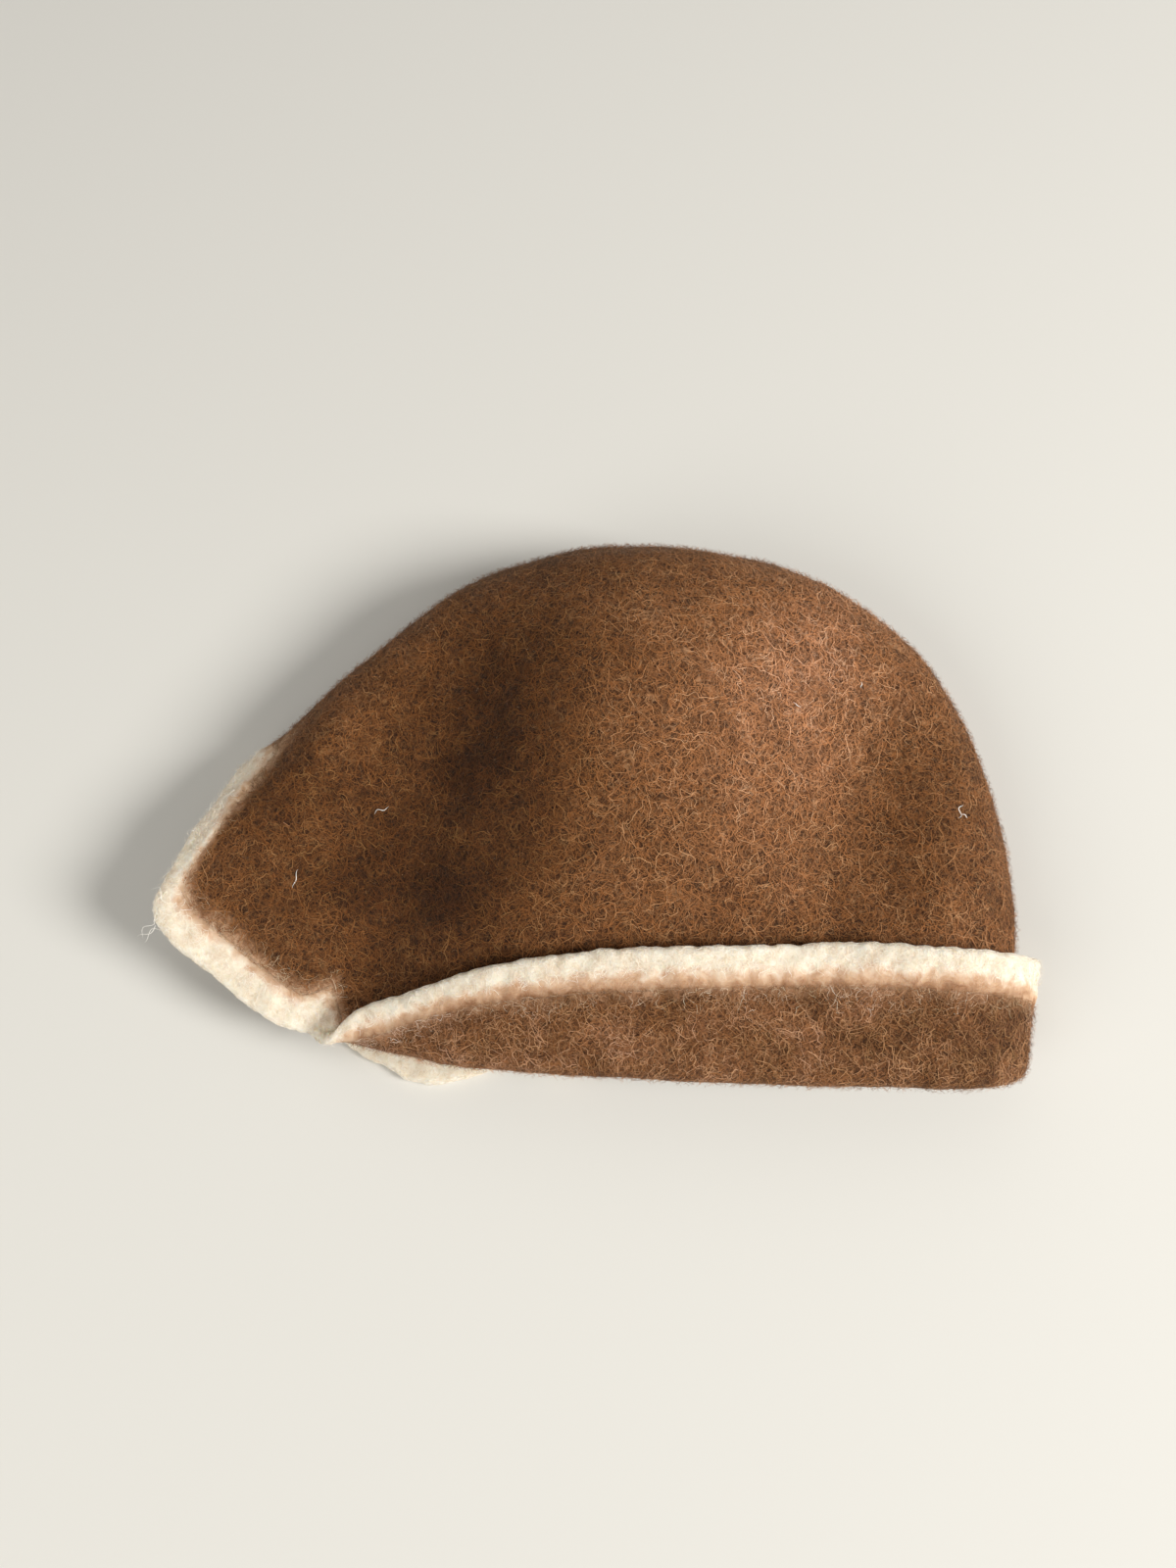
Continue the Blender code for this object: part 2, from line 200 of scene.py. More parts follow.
def flattenedSection(angle, along):
    # place on the crown pressed flat, before its mouth and dents pull at it
    root = np.sqrt(along)
    knots = np.sqrt(crownTable["along"])
    read = {name: through(knots, crownTable[name], root) for name in crownTable}
    side = np.abs(np.sin(np.radians(angle)))
    across = 0.5 - 0.5 * np.cos(np.radians(angle))
    x = read["backX"] + (read["frontX"] - read["backX"]) * across
    y = read["backY"] + (read["frontY"] - read["backY"]) * across
    fold = read["backZ"] + (read["frontZ"] - read["backZ"]) * across
    start = ramp(0.0, *felt["sag"])
    sag = (ramp(side, *felt["sag"]) - start) / (1.0 - start)
    crease = felt["roundness"] + felt["frontCrease"] * across * ramp(along, *felt["creaseRun"])
    upper = fold + (read["upper"] - fold) * side**crease
    under = fold + (read["under"] - fold) * sag
    return np.stack([x, y, np.where(angle <= 180.0, upper, under)], axis=-1)


def crownSurface(angle, along):
    place = flattenedSection(angle, along)
    mouth, turned, _ = mouthAt(angle)
    pull = mouth - flattenedSection(angle, np.ones_like(along))
    isUpper = angle <= 180.0
    brimShare = turned / felt["underLength"]
    climb = ramp(along, 1.0 - felt["liftLength"] / felt["underLength"] - brimShare, 1.0 - brimShare)
    place[..., :2] += pull[..., :2] * (along**2)[..., None]
    place[..., 2] += pull[..., 2] * np.where(isUpper, along**3, climb)
    share = np.where(isUpper, np.sin(np.radians(angle)), 0.0) * ramp(along, 0.0, felt["plainTop"])
    place[..., 2] += share * ovals(dentTable, place)
    return place


class Lines:
    # lines over the crown from its top to its mouth, and the brim folded back along them
    def __init__(self, count):
        # lines are shared out by length, by angle and by how the turned-up width changes
        fine = np.linspace(0.0, 360.0, 8 * 360 + 1)  # eighths of a degree
        place, turned, _ = mouthAt(fine)
        length = np.linalg.norm(np.diff(place, axis=0), axis=1)
        turning = np.abs(np.diff(turned))
        weight = length / length.sum() + felt["byAngle"] / len(length)
        weight = weight + felt["byTurn"] * turning / turning.sum()
        total = np.concatenate([[0.0], np.cumsum(weight)])
        self.angle = np.interp(np.arange(count) / count * total[-1], total, fine)
        along = np.linspace(0.0, 1.0, felt["steps"] + 1)
        self.place = crownSurface(*np.meshgrid(self.angle, along, indexing="ij"))
        steps = np.linalg.norm(np.diff(self.place, axis=1), axis=2)
        self.length = np.concatenate([np.zeros((count, 1)), np.cumsum(steps, axis=1)], axis=1)
        around = np.roll(self.place, -1, axis=0) - np.roll(self.place, 1, axis=0)
        self.normal = unit(np.cross(around, np.gradient(self.place, axis=1)))
        self.normal[:, 0] = unit(self.normal[:, 1:4].mean(axis=(0, 1)))
        self.outward = unit(self.place[:, -1] - self.place[:, -5])
        mouth, self.turned, self.fold = mouthAt(self.angle)
        hem = np.roll(mouth, -1, axis=0) - np.roll(mouth, 1, axis=0)
        lean = np.linalg.norm(np.cross(unit(hem), self.outward), axis=1)
        self.slant = 1.0 / np.maximum(lean, 1.0 / felt["mostSlant"])
        self.whole = self.length[:, -1] + self.turned
        gaps = np.linalg.norm(np.roll(mouth, -1, axis=0) - mouth, axis=1)
        self.hemRun = np.concatenate([[0.0], np.cumsum(gaps)[:-1]])

    def at(self, column, fromHem):
        # places, and normals out of the hat's outer side, at distances from the hem
        beyond = self.turned[column] - fromHem
        fold = self.fold[column]
        length = self.length[column]
        turn = np.clip(beyond / fold, 0.0, np.pi)
        along = length[-1] + np.minimum(beyond, 0.0) - np.maximum(beyond - np.pi * fold, 0.0)
        place, normal = [
            np.stack([np.interp(along, length, field[column, :, k]) for k in range(3)], axis=-1)
            for field in (self.place, self.normal)
        ]
        normal = unit(normal)
        up = (1.0 - np.cos(turn))[:, None]
        out = np.sin(turn)[:, None]
        place = place + fold * (up * normal + out * self.outward[column])
        return place, unit((1.0 - up) * normal - out * self.outward[column])

    def crowded(self, column, start, end, count):
        # distances from the hem, closer together round the fold
        fine = np.linspace(start, end, 301)
        reach = felt["foldReach"]
        foldStart = self.turned[column]
        foldEnd = foldStart - np.pi * self.fold[column]
        inside = ramp(fine, foldEnd - reach, foldEnd) * (1.0 - ramp(fine, foldStart, foldStart + reach))
        weight = 1.0 + felt["foldCrowding"] * inside
        total = np.concatenate([[0.0], np.cumsum(0.5 * (weight[1:] + weight[:-1]))])
        return np.interp(np.linspace(0.0, total[-1], count + 1), total, fine)

    def grid(self, rowsOf):
        # places, normals and distances from the hem, rows by columns
        rows = [rowsOf(j) for j in range(len(self.angle))]
        pairs = [self.at(j, rows[j]) for j in range(len(self.angle))]
        place = np.stack([pair[0] for pair in pairs], axis=1)
        normal = np.stack([pair[1] for pair in pairs], axis=1)
        return place, normal, np.stack(rows, axis=1)


def smoothNoise(points, size, seed):
    # -1 to 1, with bumps about size across
    shift = Vector((seed * 7.13, seed * 3.71, seed * 5.39))
    flat = points.reshape(-1, 3) / size
    values = [noise.noise(Vector(p) + shift) for p in flat]
    return np.array(values).reshape(points.shape[:-1])


def intoScene(name, data):
    made = bpy.data.objects.new(name, data)
    scene.collection.objects.link(made)
    return made


def setInputs(node, values):
    for name, value in values.items():
        node.inputs[name].default_value = value


def finish(name, points, faces, attributes):
    # a smooth mesh object in metres, in the frame's own place
    points = points.copy()
    points[:, :2] -= felt["sheetCentre"]
    points[:, 2] = np.maximum(points[:, 2], 0.0)
    mesh = bpy.data.meshes.new(name)
    mesh.from_pydata((points * mm).tolist(), [], faces)
    mesh.shade_smooth()
    for key, values in attributes.items():
        kind = "FLOAT_VECTOR" if values.ndim == 2 else "FLOAT"
        layer = mesh.attributes.new(key, kind, "POINT")
        layer.data.foreach_set("vector" if values.ndim == 2 else "value", values.ravel())
    return intoScene(name, mesh)


def wall(name, outer, inner, attributes, hasTop):
    # closed wall between two grids, rows by columns; with hasTop the first row is one point
    rows, columns = outer.shape[:2]
    ids, points, values = [], [], {key: [] for key in attributes}
    count = 0
    for side, grid in enumerate((outer, inner)):
        index = np.empty((rows, columns), int)
        for i in range(rows):
            single = i == 0 and hasTop
            taken = grid[i].mean(axis=0, keepdims=True) if single else grid[i]
            index[i] = count + (0 if single else np.arange(columns))
            points.append(taken)
            for key, pair in attributes.items():
                values[key].append(pair[side][i, :len(taken)])
            count += len(taken)
        ids.append(index)
    outside, inside = ids
    faces = []
    for j in range(columns):
        k = (j + 1) % columns
        for i in range(rows - 1):
            faces.append((outside[i, j], outside[i, k], outside[i + 1, k], outside[i + 1, j]))
            faces.append((inside[i, j], inside[i + 1, j], inside[i + 1, k], inside[i, k]))
        faces.append((outside[-1, j], outside[-1, k], inside[-1, k], inside[-1, j]))
        if not hasTop:
            faces.append((outside[0, j], inside[0, j], inside[0, k], outside[0, k]))
    faces = [tuple(dict.fromkeys(int(v) for v in face)) for face in faces]
    flat = {key: np.concatenate(parts) for key, parts in values.items()}
    return finish(name, np.concatenate(points), faces, flat)


def unevenness(points):
    # the felt's own lumps, gone where the hat is pressed on the floor
    free = ramp(points[..., 2], *felt["pressedBelow"])
    height = sum(
        depth * smoothNoise(points, size, seed)
        for seed, (size, depth) in enumerate(felt["lumps"])
    )
    return height * free


def offFloor(place, normal):
    # 1 where the outer and the inner face are clear of the floor, 0 where they lie on it
    reach, soft = 3.0, 0.6
    return [ramp(place[..., 2] + side * normal[..., 2], -soft, soft) for side in (reach, -reach)]


woolPatches = {"large": 22.0, "small": 7.0, "depth": 0.16}


def patchiness(points, seed):
    # darker and lighter patches of wool, large and small
    depth = woolPatches["depth"]
    large = depth * smoothNoise(points, woolPatches["large"], seed)
    return large + depth * smoothNoise(points, woolPatches["small"], seed + 1)


# A Wire is a number, colour or vector that varies, in a material or in Geometry Nodes.
class Wire:
    def __init__(self, board, socket):
        self.board = board
        self.socket = socket

    def math(self, operation, *others, swap=False):
        values = [self, *others]
        if swap:
            values.reverse()
        sockets = dict(enumerate(values))
        return self.board.node("ShaderNodeMath", {"operation": operation}, sockets)

    def vector(self, operation, other):
        sockets = {0: self, 1: other}
        return self.board.node("ShaderNodeVectorMath", {"operation": operation}, sockets)

    def scaled(self, factor):
        sockets = {0: self, 3: factor}
        return self.board.node("ShaderNodeVectorMath", {"operation": "SCALE"}, sockets)

    def __add__(self, other):
        return self.math("ADD", other)

    def __sub__(self, other):
        return self.math("SUBTRACT", other)

    def __rsub__(self, other):
        return self.math("SUBTRACT", other, swap=True)

    def __mul__(self, other):
        return self.math("MULTIPLY", other)

    def __truediv__(self, other):
        return self.math("DIVIDE", other)

    def __pow__(self, other):
        return self.math("POWER", other)

    __radd__ = __add__
    __rmul__ = __mul__

    def size(self):
        return self.math("ABSOLUTE")

    def atLeast(self, other):
        return self.math("MAXIMUM", other)

    def between(self, start, end):
        # 0 at start, 1 at end, smooth between
        settings = {"interpolation_type": "SMOOTHSTEP"}
        sockets = {"Value": self, "From Min": start, "From Max": end}
        return self.board.node("ShaderNodeMapRange", settings, sockets)


class Board:
    # a node tree, with one way to add any node
    def node(self, kind, settings=None, sockets=None, out=0):
        made = self.tree.nodes.new(kind)
        for key, value in (settings or {}).items():
            if key == "stops":
                stops = made.color_ramp.elements
                while len(stops) < len(value):
                    stops.new(0.5)
                for stop, (position, colour) in zip(stops, value):
                    stop.position = position
                    stop.color = (*colour, 1.0)
            else:
                setattr(made, key, value)
        for key, value in (sockets or {}).items():
            if isinstance(value, Wire):
                self.tree.links.new(value.socket, made.inputs[key])
            else:
                made.inputs[key].default_value = value
        return Wire(self, made.outputs[out])


class Shade(Board):
    def __init__(self, name, roughness, sheen, sheenTint):
        self.material = bpy.data.materials.new(name)
        self.material.use_nodes = True
        self.tree = self.material.node_tree
        self.shader = self.tree.nodes["Principled BSDF"]
        setInputs(self.shader, {
            "Roughness": roughness, "Sheen Weight": sheen, "Sheen Roughness": 0.45,
            "Sheen Tint": (*sheenTint, 1.0), "Specular IOR Level": 0.25})
        self.place = self.node("ShaderNodeTexCoord", out="Object")

    def attribute(self, name):
        return self.node("ShaderNodeAttribute", {"attribute_name": name}, out="Fac")

    def cloud(self, scale, detail, swirl=0.0, shift=(0.0, 0.0, 0.0), turn=(0.0, 0.0, 0.0)):
        moved = self.node("ShaderNodeMapping", sockets={
            "Vector": self.place, "Location": shift, "Rotation": turn})
        return self.node("ShaderNodeTexNoise", sockets={
            "Vector": moved, "Scale": scale, "Detail": detail, "Distortion": swirl})

    def blend(self, share, first, second):
        settings = {"data_type": "RGBA"}
        first = first if isinstance(first, Wire) else (*first, 1.0)
        second = second if isinstance(second, Wire) else (*second, 1.0)
        return self.node("ShaderNodeMix", settings, {0: share, 6: first, 7: second}, out=2)

    def withToneAndShading(self, colour):
        # darker or lighter by the wool's own patches and by the painted shade and light, and redder
        # where it is darker
        tone = self.attribute("tone")
        red, green, blue = tone ** 0.9, tone ** 1.08, tone ** 1.6
        triple = self.node("ShaderNodeCombineXYZ", sockets={0: red, 1: green, 2: blue})
        return colour.vector("MULTIPLY", triple)

    def hairs(self, spacing, width, swirl, number):
        # curly hairs are the level lines of a noise: 1 on a hair and 0 off it
        turn = (1.3 * number, 0.7 * number, 2.1 * number)
        shift = (0.31 * number, 0.17 * number, 0.53 * number)
        field = self.cloud(1000.0 / spacing, 1.5, swirl, shift, turn)
        return (1.0 - (field - 0.5).size() / width).atLeast(0.0)

    def close(self, colour, height=None, strength=0.0, distance=0.0):
        self.tree.links.new(colour.socket, self.shader.inputs["Base Color"])
        if height is not None:
            bump = self.node("ShaderNodeBump", sockets={
                "Height": height, "Strength": strength, "Distance": distance * mm})
            self.tree.links.new(bump.socket, self.shader.inputs["Normal"])
        return self.material


colours = {
    "ground": (0.034, 0.012, 0.004),
    "brown": (0.160, 0.060, 0.019),
    "tan": (0.360, 0.150, 0.052),
    "orange": (0.380, 0.145, 0.042),
    "pale": (0.560, 0.300, 0.140),
    "pinkGround": (0.055, 0.021, 0.008),
    "pinkBrown": (0.200, 0.080, 0.030),
    "pink": (0.480, 0.260, 0.140),
    "blush": (0.700, 0.480, 0.320),
    "cream": (0.940, 0.850, 0.710),
    "creamShade": (0.820, 0.710, 0.560),
    "white": (0.980, 0.950, 0.880),
}


# Clouds are scale, detail, swirl and shift. A hair layer is spacing in mm, width, swirl, colour
# and strength.
feltLook = {
    "wide": (70.0, 3.0),
    "mottle": (560.0, 3.0, 0.8, (0.4, 0.1, 0.7)),
    "wideGain": (0.5, 0.7),  # middle and gain
    "mottleGain": (0.38, 2.8),
    "depths": (-0.2, 1.1),
    "orangeFrom": (0.52, 0.75),
    "orange": 0.6,
    "relief": 0.6, "hairRelief": 0.5,
    "firstLayer": 1,
    "layers": [
        (5.2, 0.026, 1.6, "tan", 0.55), (3.6, 0.030, 2.4, "orange", 0.45),
        (6.5, 0.020, 1.2, "tan", 0.60), (4.4, 0.022, 2.0, "pale", 0.40),
        (8.0, 0.014, 1.0, "pale", 0.55),
    ],
}
creamLook = {
    "wide": (160.0, 3.0, 0.5, (0.2, 0.6, 0.1)),
    "tufts": (520.0, 2.0, 0.6, (0.7, 0.2, 0.5)),
    "shares": (0.6, 0.4),  # of wide and tufts, in the colour
    "lightFrom": (0.36, 0.58),
    "reliefs": (1.2, 1.1),
    "hairRelief": 0.2,
    "firstLayer": 7,
    "layers": [(3.4, 0.03, 1.6, "white", 0.4), (5.0, 0.022, 1.2, "white", 0.4)],
}
# Where felt and edging run into each other, in mm from the hem
border = {
    "cuffShift": 2.6,  # the cream ends sooner on the turned-up side
    "tatters": [((230.0, 3.0, 0.6, (0.9, 0.3, 0.2)), 9.0), ((60.0, 1.0, 0.0, (0.1, 0.8, 0.4)), 5.0)],
    "brown": (14.5, 22.0), "blush": (12.0, 18.0), "cream": (8.5, 14.0), "relief": (10.0, 16.0),
    "strength": 0.9, "distance": 0.35, "roughness": 0.92,
    "sheen": 0.2, "sheenTint": (0.9, 0.62, 0.42),
    "glowRadius": (1.0, 0.85, 0.65), "glowDepth": 5.0,
}


def drawHairs(shade, colour, height, look):
    for number, layer in enumerate(look["layers"], start=look["firstLayer"]):
        spacing, width, swirl, name, strength = layer
        hair = shade.hairs(spacing, width, swirl, number)
        colour = shade.blend(hair * strength, colour, colours[name])
        height = height + hair * look["hairRelief"]
    return colour, height


def feltColour(shade, look):
    # brown felt, pinker on the turned-up side
    wide = shade.cloud(*look["wide"])
    mottle = shade.cloud(*look["mottle"])
    side = shade.attribute("cuffSide")
    (wideMiddle, wideGain), (middle, gain) = look["wideGain"], look["mottleGain"]
    depth = ((mottle - middle) * gain + (wide - wideMiddle) * wideGain).between(*look["depths"])
    plain = shade.blend(depth, colours["ground"], colours["brown"])
    plain = shade.blend(mottle.between(*look["orangeFrom"]) * look["orange"], plain, colours["orange"])
    turned = shade.blend(depth, colours["pinkGround"], colours["pinkBrown"])
    colour = shade.blend(side, plain, turned)
    colour, height = drawHairs(shade, colour, mottle * look["relief"], look)
    return shade.withToneAndShading(colour), height


def creamColour(shade, look):
    wide = shade.cloud(*look["wide"])
    tufts = shade.cloud(*look["tufts"])
    wideShare, tuftShare = look["shares"]
    light = wide * wideShare + tufts * tuftShare
    colour = shade.blend(light.between(*look["lightFrom"]), colours["creamShade"], colours["cream"])
    wideRelief, tuftRelief = look["reliefs"]
    return drawHairs(shade, colour, wide * wideRelief + tufts * tuftRelief, look)


def bodyMaterial(name, glow, look):
    # the same on both pieces: brown felt and cream edging run into each other unevenly
    shade = Shade(name, look["roughness"], look["sheen"], look["sheenTint"])
    setInputs(shade.shader, {
        "Subsurface Weight": glow, "Subsurface Radius": look["glowRadius"],
        "Subsurface Scale": look["glowDepth"] * mm})
    ragged = shade.attribute("fromHem") + shade.attribute("cuffSide") * look["cuffShift"]
    for cloud, reach in look["tatters"]:
        ragged = ragged + (shade.cloud(*cloud) - 0.5) * reach
    brown, brownHeight = feltColour(shade, feltLook)
    cream, creamHeight = creamColour(shade, creamLook)
    mingled = shade.blend(ragged.between(*look["brown"]), colours["pink"], brown)
    mingled = shade.blend(ragged.between(*look["blush"]), colours["blush"], mingled)
    colour = shade.blend(ragged.between(*look["cream"]), cream, mingled)
    isFelt = ragged.between(*look["relief"])
    height = brownHeight * isFelt + creamHeight * (1.0 - isFelt)
    return shade.close(colour, height, look["strength"], look["distance"])


# Pairs are distances from the hem, widths or heights between which something sets in.
feltBody = {
    "columns": 380,
    "crownRows": 52,
    "crownCrowding": 0.92,  # below 1 the rows are closer together towards the brow
    "brimRows": 42,
    "brow": 70.0,  # from the hem
    "under": 1.2,  # how far the felt runs in under the edging
    "outerGrain": (2.6, 0.16),  # size and depth
    "grainFrom": (14.0, 22.0),
    "cuffRun": (0.0, 12.0),  # past the fold
    "cuffWidth": (4.0, 16.0),
    "hidden": 0.95,  # share of the hairs left out where nothing shows
    "coveredBelow": 16.0,
    "cuffHairWidth": (2.0, 8.0),
    "insideHair": 0.25,
    "insideReach": (40.0, 90.0),
    "peakInside": 0.6,  # how much of the peak's inner side is like the cuff
    "blendReach": (13.0, 24.0),
    "hairFrom": (13.0, 22.0),
    "rimSlope": (0.35, 0.75),  # the folded edges, where the nap stands
    # heights over which the painted shade and light of the upper layer set in
    "paintedShadingHeight": (12.0, 24.0),
    "leastToneAndShading": 0.2,
    "cuffPatches": 2.6,
    # painted shade: the turned-up side is painted darker towards the back
    "cuffPaintedShade": 0.18,  # darker by this at the back
    "cuffPaintedShadeRun": (40.0, 150.0),
}


def makeFeltBody(lines, settings):
    brow = settings["brow"]
    end = (felt["edgingWidth"] - settings["under"]) * lines.slant
    share = np.linspace(0.0, 1.0, settings["crownRows"] + 1) ** settings["crownCrowding"]

    def rowsOf(j):
        # from the crown's top to the brow, and on to the edging
        crown = lines.whole[j] + (brow - lines.whole[j]) * share
        brim = lines.crowded(j, end[j], brow, settings["brimRows"])[::-1]
        return np.concatenate([crown, brim[1:]])

    place, normal, fromHem = lines.grid(rowsOf)
    hem = fromHem / lines.slant
    lift = unevenness(place)
    size, depth = settings["outerGrain"]
    grain = depth * smoothNoise(place, size, 11) * ramp(place[..., 2], *felt["pressedBelow"])
    grain = grain * ramp(hem, *settings["grainFrom"])
    half = felt["thickness"] / 2
    outer = place + normal * (half + lift + grain)[..., None]
    inner = place - normal * (half - lift)[..., None]

    # which parts are the cuff or the peak, and which of them show
    none = np.zeros_like(hem)
    beyond = lines.turned - fromHem
    cuff = ramp(beyond, *settings["cuffRun"]) * ramp(lines.turned, *settings["cuffWidth"])
    peak = np.where(lines.turned < 1.0, settings["peakInside"], none)
    folded = ramp(beyond, 0.0, 3.0 * lines.fold)
    covered = (beyond < 0.0) * (-beyond < lines.turned - settings["coveredBelow"])
    clearOuter, clearInner = offFloor(place, normal)
    seen = (1.0 - settings["hidden"] * folded) * (1.0 - settings["hidden"] * covered) * clearOuter
    inside = settings["insideHair"] * (1.0 - ramp(hem, *settings["insideReach"]))
    seenCuff = np.maximum(folded * ramp(lines.turned, *settings["cuffHairWidth"]), inside) * clearInner
    nearEdging = 1.0 - ramp(hem, *settings["blendReach"])
    bare = ramp(hem, *settings["hairFrom"])
    rim = 1.0 - ramp(np.abs(normal[..., 2]), *settings["rimSlope"])

    # how dark or light the wool is in patches, with the painted shade and light of the ovals on the
    # upper layer, and painted shade towards the back of the turned-up side
    upper = (lines.angle < 180.0) * ramp(place[..., 2], *settings["paintedShadingHeight"])
    tone = 1.0 + ovals(paintedShadingTable, place) * upper * (1.0 - folded)
    tone = np.maximum(tone + patchiness(place, 41), settings["leastToneAndShading"])
    cuffToneAndShade = 1.0 + settings["cuffPatches"] * patchiness(place, 44)
    cuffToneAndShade = cuffToneAndShade - settings["cuffPaintedShade"] * ramp(place[..., 0], *settings["cuffPaintedShadeRun"])
    attributes = {
        "fromHem": (hem, hem),
        "tone": (tone, cuffToneAndShade),
        "cuffSide": (none, np.maximum(cuff, peak)),
        "facing": (normal, -normal),
        "crownHair": (seen * bare, none),
        "cuffHair": (none, seenCuff * bare),
        "blendHair": (seen * nearEdging, np.maximum(seenCuff, peak) * nearEdging),
        "anyHair": (seen, seenCuff),
        "rimHair": (seen * rim, seenCuff * rim),
    }
    return wall("feltBody", outer, inner, attributes, hasTop=True)


print("shaping the felt")
bodyLines = Lines(feltBody["columns"])
feltPiece = makeFeltBody(bodyLines, feltBody)
feltPiece.data.materials.append(bodyMaterial("brownFelt", 0.0, border))


edging = {
    "columns": 760,
    "rows": 16,
    "rowCrowding": 1.5,  # the rows are closer together towards the hem
    "ribPitch": 5.4,  # knitted ribs across the edging, softened by the fulling
    "ribDepth": 0.10,
    "ribWander": (14.0, 2.5),  # size and strength of their unevenness
    "ribPull": 0.3,  # how far a rib stands out past the hem
    "bumps": [(5.5, 0.95), (2.8, 0.25)],
    "bumpsFrom": (0.0, 1.5),
    "waver": (6.0, 0.8),  # unevenness of the hem's line
    "joint": 10.0,  # from here it thins down to the felt
    "overFelt": 0.1,
    "blunt": 0.02,  # the wall's edge at the hem isn't quite a point
    "hiddenTurn": (22.0, 30.0),  # turned up by more, its outer side lies against the crown
    "hidden": 0.9,
    "hiddenRun": (2.0, 5.0),
    "hairEnd": (9.5, 12.5),  # the cream hairs end before the felt
    "cuffHairEnd": (6.5, 9.5),
}


def makeEdging(settings):
    lines = Lines(settings["columns"])
    half = felt["edgingThickness"] / 2
    share = np.linspace(1.0, 0.0, settings["rows"] + 1) ** settings["rowCrowding"]
    width = felt["edgingWidth"] * share
    hemPlace = mouthAt(lines.angle)[0]
    size, depth = settings["waver"]
    waver = depth * smoothNoise(hemPlace, size, 21)
    size, strength = settings["ribWander"]
    phase = 2 * np.pi * lines.hemRun / settings["ribPitch"] + strength * smoothNoise(hemPlace, size, 22)
    ribs = 0.5 + 0.5 * np.cos(phase)

    def rowsOf(j):
        return width * lines.slant[j] - waver[j] * (1.0 - share) - settings["ribPull"] * ribs[j]

    place, normal, _ = lines.grid(rowsOf)
    fromEdge = 1.0 - np.clip((width + settings["blunt"]) / half, 0.0, 1.0)
    rounded = half * np.sqrt(1.0 - fromEdge ** 2)
    joint = ramp(width, settings["joint"], felt["edgingWidth"])
    thick = rounded * (1.0 - joint) + (felt["thickness"] / 2 + settings["overFelt"]) * joint
    lift = unevenness(place)
    free = (1.0 - joint) * ramp(width, *settings["bumpsFrom"])
    bumps = sum(
        depth * smoothNoise(place, size, seed)
        for seed, (size, depth) in enumerate(settings["bumps"], start=30)
    )
    bumps = bumps + settings["ribDepth"] * (ribs - 0.5)[None, :]
    swell = thick[:, None] + bumps * free[:, None]
    outer = place + normal * (swell + lift)[..., None]
    inner = place - normal * (swell - lift)[..., None]

    hem = np.repeat(width[:, None], len(lines.angle), axis=1)
    none, full = np.zeros_like(hem), np.ones_like(hem)
    clearOuter, clearInner = offFloor(place, normal)
    hidden = settings["hidden"] * ramp(lines.turned, *settings["hiddenTurn"])
    shown = clearOuter * (1.0 - hidden * ramp(width, *settings["hiddenRun"])[:, None])
    outerHair = shown * (1.0 - ramp(hem, *settings["hairEnd"]))
    innerHair = clearInner * (1.0 - ramp(hem, *settings["cuffHairEnd"]))
    attributes = {
        "fromHem": (hem, hem),
        "tone": (full, full),
        "cuffSide": (none, full),
        "facing": (normal, -normal),
        "creamHair": (outerHair, innerHair),
    }
    return wall("edgingBand", outer, inner, attributes, hasTop=False)


print("knitting the edging")
edgingPiece = makeEdging(edging)
edgingPiece.data.materials.append(bodyMaterial("creamEdging", 0.8, border))


# What all kinds of hair share. Strands is the span of places in the noise that bends them.
hairShape = {
    "strands": 900.0, "drift": 0.371, "sizes": (0.45, 1.35), "curlGain": 4.0,
    "waveScale": 0.8, "waveGain": 2.0, "sunk": 0.55, "leastLift": 0.02,
    "overFloor": 0.0002,  # m
    "taper": 0.75, "wander": 2.0, "secondTurn": 7.3,
    "streaks": (300.0, 2.0), "streakDepth": 0.5, "sheenTint": (0.95, 0.75, 0.55),
}


